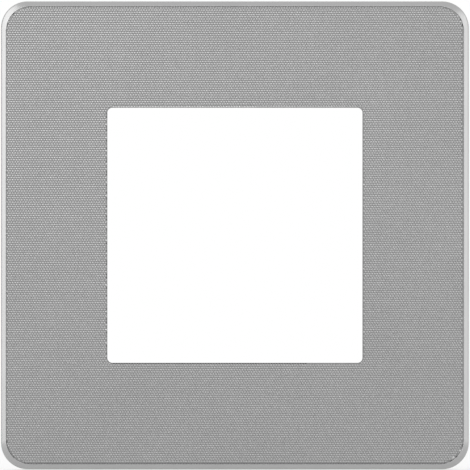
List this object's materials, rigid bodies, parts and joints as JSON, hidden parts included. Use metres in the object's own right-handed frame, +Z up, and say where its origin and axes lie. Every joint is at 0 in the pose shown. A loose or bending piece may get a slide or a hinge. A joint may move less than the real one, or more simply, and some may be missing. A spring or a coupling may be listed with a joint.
{
  "type": "switch plate",
  "caption": "Square metal-faced cover frame for a wall switch, with a square module window and a moulded carrier that clips to the mounting bridge behind it.",
  "frame": {"origin": "centre of the back rim's plane, where the frame meets the wall, on the axis of the module window", "axes": "-Y out of the wall towards the viewer, +X to the viewer's right, +Z up"},
  "size_m": [0.0832, 0.009, 0.0832],
  "materials": {
    "face_metal": "satin, closely embossed with round micro-dots in a hexagonal lattice; smooth bright bevel round the rim",
    "carrier_plastic": "white moulded plastic, finely spark-textured"
  },
  "bodies": {
    "root": {"face_plate": "face_metal", "carrier_frame": "carrier_plastic"}
  },
  "joints": []
}
